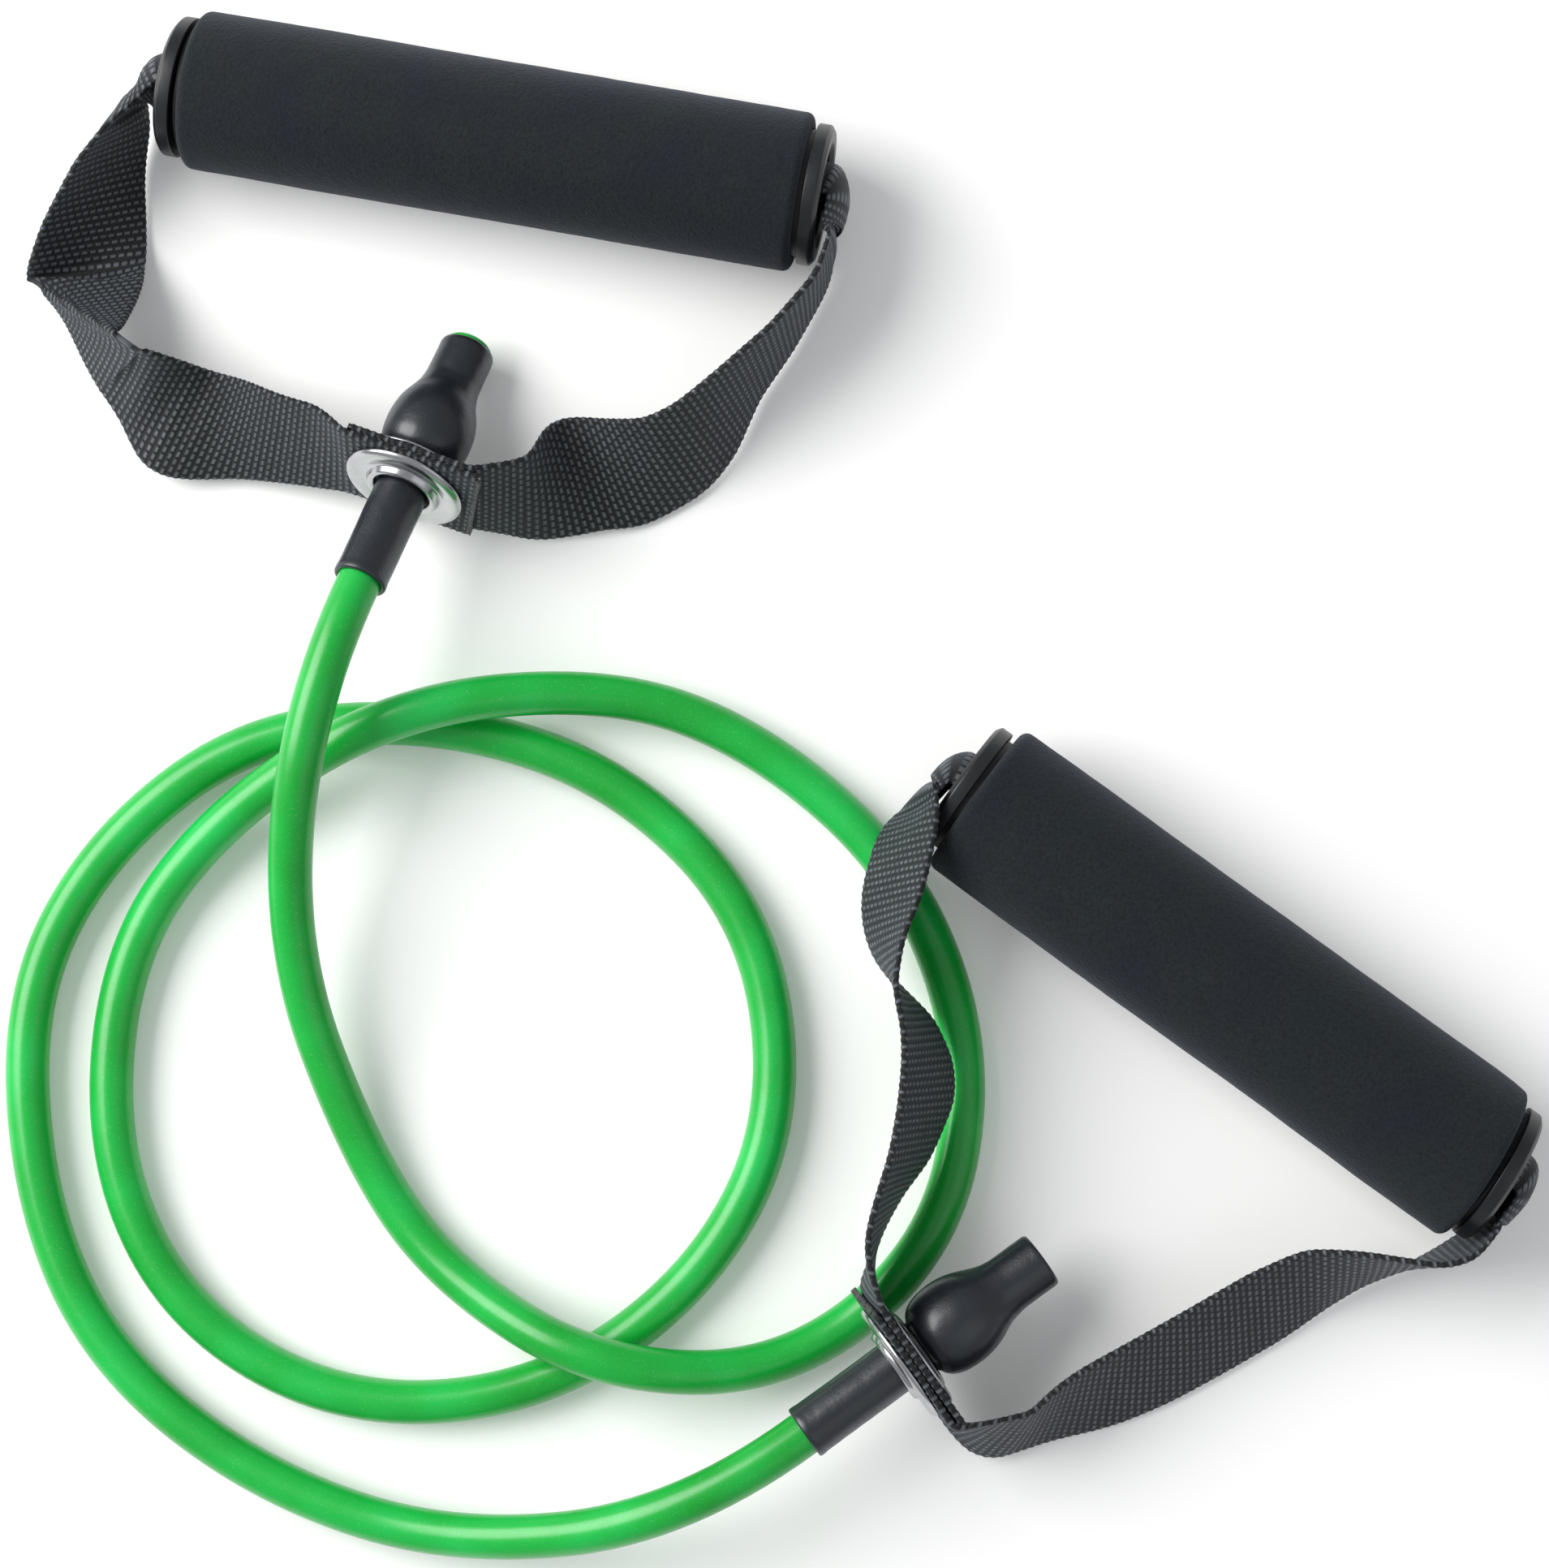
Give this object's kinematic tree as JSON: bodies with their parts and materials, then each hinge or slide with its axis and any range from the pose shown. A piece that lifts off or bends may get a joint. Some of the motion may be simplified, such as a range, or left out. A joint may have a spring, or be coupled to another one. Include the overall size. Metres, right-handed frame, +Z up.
{
  "type": "resistance band",
  "caption": "Elastic exercise tube with a foam-grip handle on each end, each on a webbing loop with a metal grommet and a plugged rubber sleeve.",
  "frame": {"origin": "on the ground under the middle of the box around the two handles", "axes": "+Z up from the surface it lies on; +X and +Y in that surface, +Y from the middle towards handle A, +X towards handle B"},
  "size_m": [0.3167, 0.3186, 0.0406],
  "materials": {
    "foam": "matt closed-cell foam",
    "core_plastic": "moulded",
    "cap_plastic": "satin moulded",
    "grommet_metal": "bright nickel plate",
    "webbing": "woven ribbed tape",
    "tube_rubber": "glossy translucent elastomer",
    "sleeve_rubber": "satin rubber"
  },
  "bodies": {
    "band": {"elastic_tube": "tube_rubber", "tube_end_a": "tube_rubber", "end_sleeve_a": "sleeve_rubber", "anchor_plug_a": "core_plastic", "tube_end_b": "tube_rubber", "end_sleeve_b": "sleeve_rubber", "anchor_plug_b": "core_plastic"},
    "grommet_a": {"grommet_eyelet_a": "grommet_metal", "grommet_washer_a": "grommet_metal"},
    "strap_a": {"webbing_strap_a": "webbing"},
    "grip_a": {"foam_grip_a": "foam", "core_tube_a": "core_plastic", "end_cap_left_a": "cap_plastic", "end_cap_right_a": "cap_plastic"},
    "grommet_b": {"grommet_eyelet_b": "grommet_metal", "grommet_washer_b": "grommet_metal"},
    "strap_b": {"webbing_strap_b": "webbing"},
    "grip_b": {"foam_grip_b": "foam", "core_tube_b": "core_plastic", "end_cap_left_b": "cap_plastic", "end_cap_right_b": "cap_plastic"}
  },
  "joints": [
    {"name": "grommet_slide_a", "type": "slide", "parent": "band", "child": "grommet_a", "axis": [0.3153, 0.8719, -0.3746], "range_m": [-0.02, 0]},
    {"name": "handle_swivel_a", "type": "hinge", "parent": "grommet_a", "child": "strap_a", "pos_m": [-0.07335, 0.05057, 0.0182], "axis": [0.3153, 0.8719, -0.3746], "continuous": true},
    {"name": "grip_spin_a", "type": "hinge", "parent": "strap_a", "child": "grip_a", "pos_m": [-0.05523, 0.12117, 0.0165], "axis": [0.9831, -0.1833, 0], "continuous": true},
    {"name": "grommet_slide_b", "type": "slide", "parent": "band", "child": "grommet_b", "axis": [0.8066, 0.5818, -0.1045], "range_m": [-0.004, 0]},
    {"name": "handle_swivel_b", "type": "hinge", "parent": "grommet_b", "child": "strap_b", "pos_m": [0.02903, -0.12754, 0.0198], "axis": [0.8066, 0.5818, -0.1045], "range_deg": [0, 45]},
    {"name": "grip_spin_b", "type": "hinge", "parent": "strap_b", "child": "grip_b", "pos_m": [0.09411, -0.05252, 0.01695], "axis": [0.8071, -0.5905, 0], "continuous": true}
  ]
}
